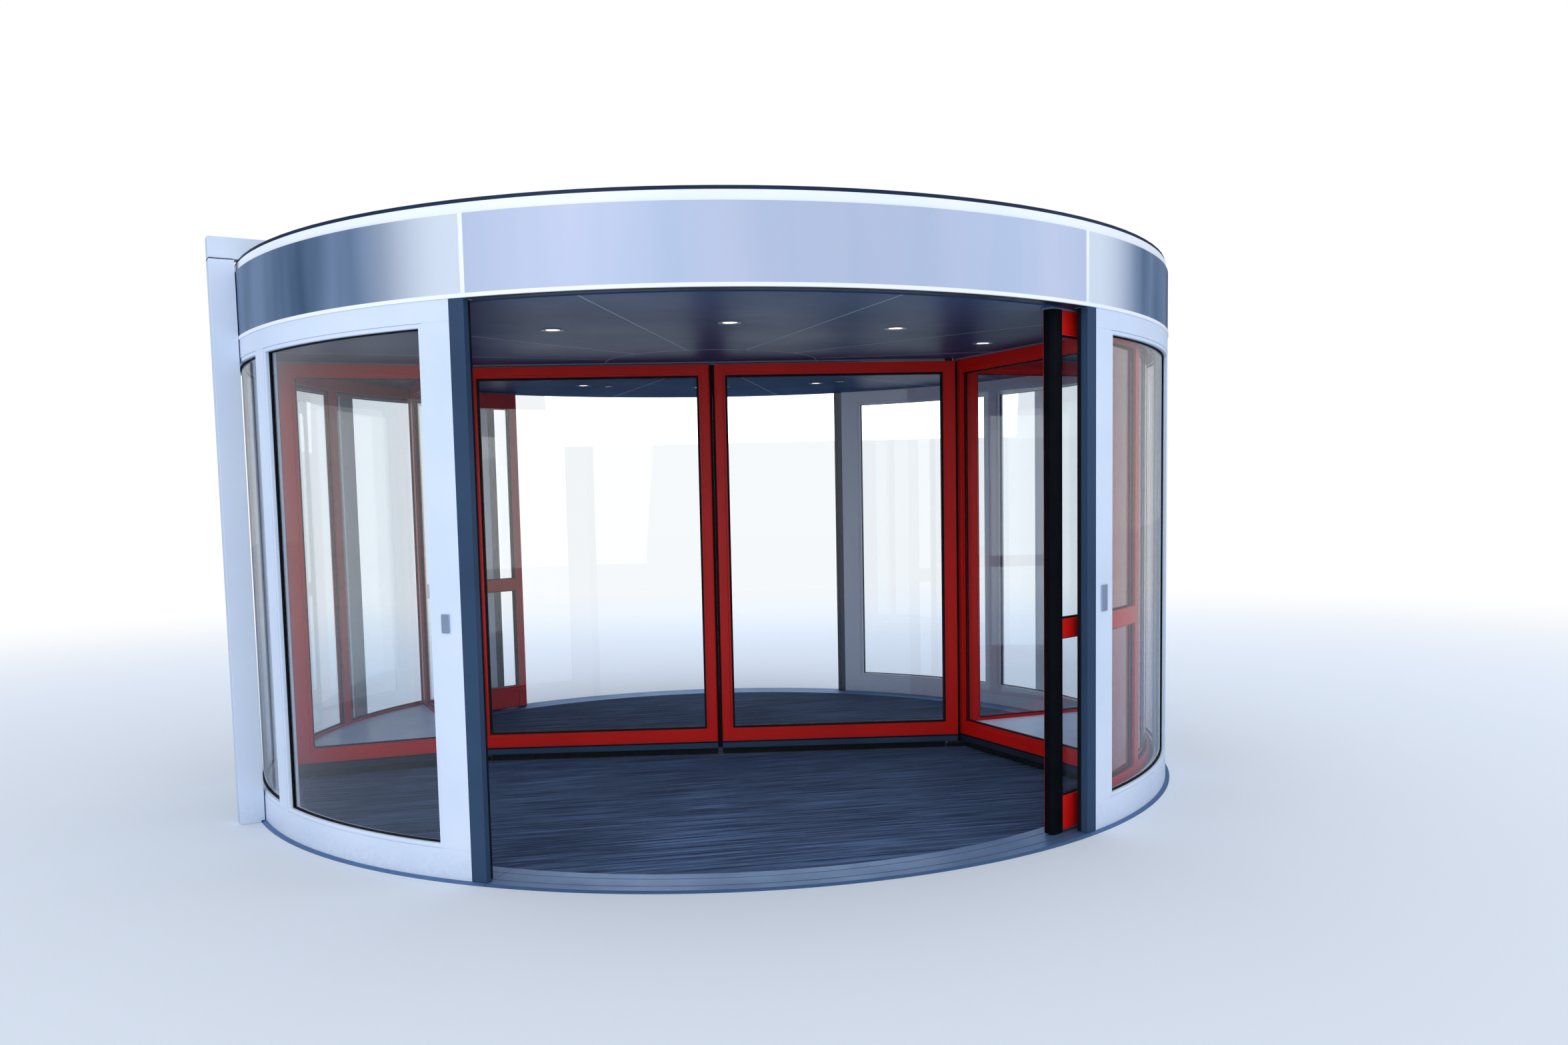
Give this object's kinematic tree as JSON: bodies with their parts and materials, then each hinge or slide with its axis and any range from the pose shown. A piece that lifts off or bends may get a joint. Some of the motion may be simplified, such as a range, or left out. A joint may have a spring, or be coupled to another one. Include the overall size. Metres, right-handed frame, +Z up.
{
  "type": "revolving door",
  "caption": "Large round revolving door with two glazed wings, display cases, two swinging middle leaves, curved glass walls and a lit canopy.",
  "frame": {"origin": "on the axis of the drum at floor level, at the centre of the round underside", "axes": "+Z up along the axis of the drum; -Y through the middle of the street opening; +X to the right as seen from the street"},
  "size_m": [4.84, 4.84, 2.654],
  "materials": {
    "white_coat": "white powder coat on aluminium, satin",
    "red_coat": "red powder coat on aluminium, satin",
    "dark_coat": "anthracite powder coat on aluminium, satin",
    "ceiling_coat": "dark grey metallic powder coat on aluminium sheet",
    "satin_sheet": "satin metal sheet",
    "plain_steel": "mill finish, hidden in the canopy",
    "plate_steel": "brushed stainless steel",
    "clear_glass": "clear laminated safety glass",
    "black_brush": "black bristle brush seal",
    "black_edge": "black rubber safety edge",
    "ribbed_mat": "ribbed charcoal entrance mat",
    "grey_ring": "grey satin floor ring",
    "roof_sheet": "dark coated roof sheet",
    "case_board": "pale coated board",
    "lamp_glass": "warm frosted lamp glass"
  },
  "bodies": {
    "drum": {"entrance_mat": "ribbed_mat", "floor_ring": "grey_ring", "right_wall_bottom_rail": "white_coat", "right_wall_top_rail": "white_coat", "right_wall_uprights": "white_coat", "right_wall_glass": "clear_glass", "left_wall_bottom_rail": "white_coat", "left_wall_top_rail": "white_coat", "left_wall_uprights": "white_coat", "left_wall_glass": "clear_glass", "opening_posts": "dark_coat", "switch_plates": "plate_steel", "canopy_trim": "white_coat", "fascia_sheets": "satin_sheet", "running_track": "plain_steel", "canopy_lip": "white_coat", "roof_deck": "roof_sheet", "right_jamb": "white_coat", "left_jamb": "white_coat", "head_beam": "white_coat"},
    "rotor": {"ceiling_carrier": "plain_steel", "ceiling_panels": "ceiling_coat", "lamps": "lamp_glass", "head_channels": "satin_sheet", "leaf_pivots": "plain_steel", "wing_plinths": "dark_coat", "wing_brushes": "black_brush", "right_street_leg": "red_coat", "right_back_leg": "red_coat", "right_case_front": "red_coat", "right_shield_rails": "red_coat", "right_edge_post": "black_edge", "right_wing_glass": "clear_glass", "right_case_floor": "case_board", "left_street_leg": "red_coat", "left_back_leg": "red_coat", "left_case_front": "red_coat", "left_shield_rails": "red_coat", "left_edge_post": "black_edge", "left_wing_glass": "clear_glass", "left_case_floor": "case_board"},
    "right_leaf": {"right_leaf_frame": "red_coat", "right_leaf_glass": "clear_glass", "right_leaf_plinth": "dark_coat", "right_leaf_brush": "black_brush"},
    "left_leaf": {"left_leaf_frame": "red_coat", "left_leaf_glass": "clear_glass", "left_leaf_plinth": "dark_coat", "left_leaf_brush": "black_brush"}
  },
  "joints": [
    {"name": "rotor_spin", "type": "hinge", "parent": "drum", "child": "rotor", "pos_m": [0, 0, 1.1], "axis": [0, 0, 1], "continuous": true},
    {"name": "right_leaf_swing", "type": "hinge", "parent": "rotor", "child": "right_leaf", "pos_m": [1.30141, -0.20845, 1.1], "axis": [0, 0, 1], "range_deg": [0, 90]},
    {"name": "left_leaf_swing", "type": "hinge", "parent": "rotor", "child": "left_leaf", "pos_m": [-1.30141, 0.20845, 1.1], "axis": [0, 0, -1], "range_deg": [0, 90]}
  ]
}
